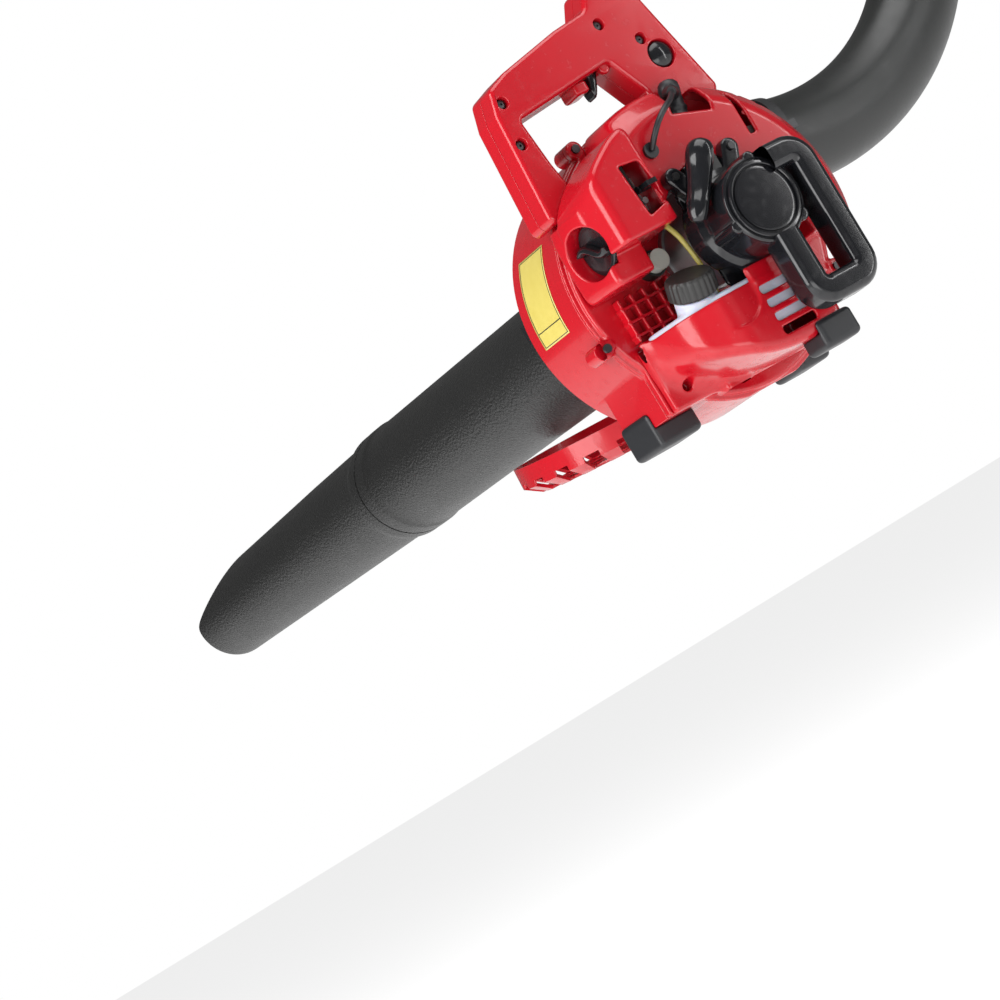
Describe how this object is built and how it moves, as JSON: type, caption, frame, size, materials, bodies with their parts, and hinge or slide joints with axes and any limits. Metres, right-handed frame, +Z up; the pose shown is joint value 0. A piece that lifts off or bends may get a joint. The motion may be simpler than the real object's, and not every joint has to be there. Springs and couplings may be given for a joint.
{
  "type": "handheld leaf blower and vacuum",
  "caption": "Handheld petrol blower-vac set up as a garden vacuum: fan drum, engine, top and loop handles, long suction tube and curved outlet tube.",
  "frame": {"origin": "middle of the whole machine in X and Y, on the plane of the rubber feet; the crankshaft axis runs along Y at x = -0.186 m, z = 0.124 m", "axes": "+X towards the outlet side, +Y along the crankshaft to the suction mouth, +Z up as the machine stands on its feet"},
  "size_m": [0.6313, 1.248, 0.4292],
  "materials": {
    "red_plastic": "glossy moulded",
    "black_plastic": "glossy black",
    "grained_plastic": "pebble grained charcoal",
    "satin_plastic": "satin black",
    "tank_plastic": "translucent white",
    "label_film": "printed film",
    "black_rubber": "moulded rubber",
    "alloy": "cast",
    "steel": "machined",
    "muffler_steel": "heat paint",
    "clear_bulb": "clear soft bulb",
    "fuel_hose": "yellow fuel hose",
    "foam": "open foam"
  },
  "bodies": {
    "machine": {"bag_collar": "satin_plastic", "carb_insulator": "satin_plastic", "carburettor": "alloy", "crank_bearings": "steel", "crankcase": "alloy", "cylinder": "alloy", "drum_screws": "steel", "elbow_clamp": "steel", "engine_cowl": "red_plastic", "filter_body": "satin_plastic", "filter_cover": "red_plastic", "filter_element": "foam", "foot_front": "black_rubber", "foot_near": "black_rubber", "foot_rear": "black_rubber", "fuel_line": "fuel_hose", "fuel_tank": "tank_plastic", "handle_far_half": "red_plastic", "handle_near_half": "red_plastic", "handle_screws": "steel", "ignition_coil": "satin_plastic", "ignition_lead": "black_rubber", "lead_grommet": "black_rubber", "lid_hinge_pin": "steel", "loop_handle": "black_plastic", "muffler": "muffler_steel", "outlet_elbow": "satin_plastic", "piston": "alloy", "plug_boot": "black_rubber", "primer_base": "satin_plastic", "recoil_spring": "steel", "rope_guide": "satin_plastic", "spark_plug": "steel", "starter_cap": "black_plastic", "starter_housing": "black_plastic", "starter_screws": "steel", "tank_guard": "red_plastic", "trigger_pin": "steel", "tube_clip": "black_plastic", "volute_engine_half": "red_plastic", "volute_intake_half": "red_plastic", "warning_label": "label_film", "wrist_pin": "steel"},
    "crank": {"crankshaft": "steel", "flywheel": "alloy", "impeller": "satin_plastic", "impeller_nut": "steel"},
    "pulley": {"starter_pulley": "satin_plastic", "starter_cord": "foam"},
    "pull_grip": {"starter_grip": "black_plastic"},
    "trigger": {"trigger": "black_plastic"},
    "throttle": {"throttle_lever": "alloy"},
    "stop_button": {"stop_button": "black_plastic"},
    "choke": {"choke_lever": "black_plastic"},
    "knob": {"filter_knob": "black_plastic"},
    "cap": {"fuel_cap": "black_plastic"},
    "bulb": {"primer_bulb": "clear_bulb"},
    "lid": {"grille_lid": "red_plastic"},
    "upper_tube": {"upper_suction_tube": "grained_plastic"},
    "lower_tube": {"lower_suction_tube": "grained_plastic"}
  },
  "joints": [
    {"name": "crank_spin", "type": "hinge", "parent": "machine", "child": "crank", "pos_m": [-0.186, -0.434, 0.124], "axis": [0, 1, 0], "continuous": true},
    {"name": "grip_pull", "type": "slide", "parent": "machine", "child": "pull_grip", "axis": [-0.6006, -0.6606, 0.4504], "range_m": [0, 0.7], "stiffness_N_per_m": 20, "springref_m": -0.2},
    {"name": "pulley_spin", "type": "hinge", "parent": "machine", "child": "pulley", "pos_m": [-0.186, -0.589, 0.124], "axis": [0, 1, 0], "range_deg": [0, 1680]},
    {"name": "trigger_squeeze", "type": "hinge", "parent": "machine", "child": "trigger", "pos_m": [-0.18, -0.505, 0.31], "axis": [0, 1, 0], "range_deg": [0, 16], "stiffness_Nm_per_rad": 0.4, "springref_deg": -17.19},
    {"name": "throttle_turn", "type": "hinge", "parent": "machine", "child": "throttle", "pos_m": [-0.238, -0.538, 0.202], "axis": [0, 0, 1], "range_deg": [0, 64]},
    {"name": "stop_press", "type": "slide", "parent": "machine", "child": "stop_button", "axis": [0, 1, 0], "range_m": [0, 0.003], "stiffness_N_per_m": 400, "springref_m": -0.003},
    {"name": "choke_lift", "type": "hinge", "parent": "machine", "child": "choke", "pos_m": [-0.246, -0.57, 0.18], "axis": [1, 0, 0], "range_deg": [0, 30]},
    {"name": "knob_turn", "type": "hinge", "parent": "machine", "child": "knob", "pos_m": [-0.296, -0.54, 0.157], "axis": [-1, 0, 0], "continuous": true},
    {"name": "cap_turn", "type": "hinge", "parent": "machine", "child": "cap", "pos_m": [-0.248, -0.556, 0.083], "axis": [-0.05, -0.4201, 0.9061], "continuous": true},
    {"name": "primer_press", "type": "slide", "parent": "machine", "child": "bulb", "axis": [0, 1, 0], "range_m": [0, 0.004], "stiffness_N_per_m": 400, "springref_m": -0.002},
    {"name": "lid_swing", "type": "hinge", "parent": "machine", "child": "lid", "pos_m": [-0.186, -0.389, 0.042], "axis": [1, 0, 0], "range_deg": [0, 1]},
    {"name": "upper_tube_twist", "type": "hinge", "parent": "machine", "child": "upper_tube", "pos_m": [-0.186, -0.404, 0.124], "axis": [0, 1, 0], "range_deg": [0, 30]},
    {"name": "lower_tube_twist", "type": "hinge", "parent": "upper_tube", "child": "lower_tube", "pos_m": [-0.186, 0.106, 0.124], "axis": [0, 1, 0], "range_deg": [0, 30]}
  ],
  "couplings": [
    {"joint": "pulley_spin", "follows": "grip_pull", "rad_per_m": 41.667},
    {"joint": "throttle_turn", "follows": "trigger_squeeze", "ratio": 4}
  ]
}
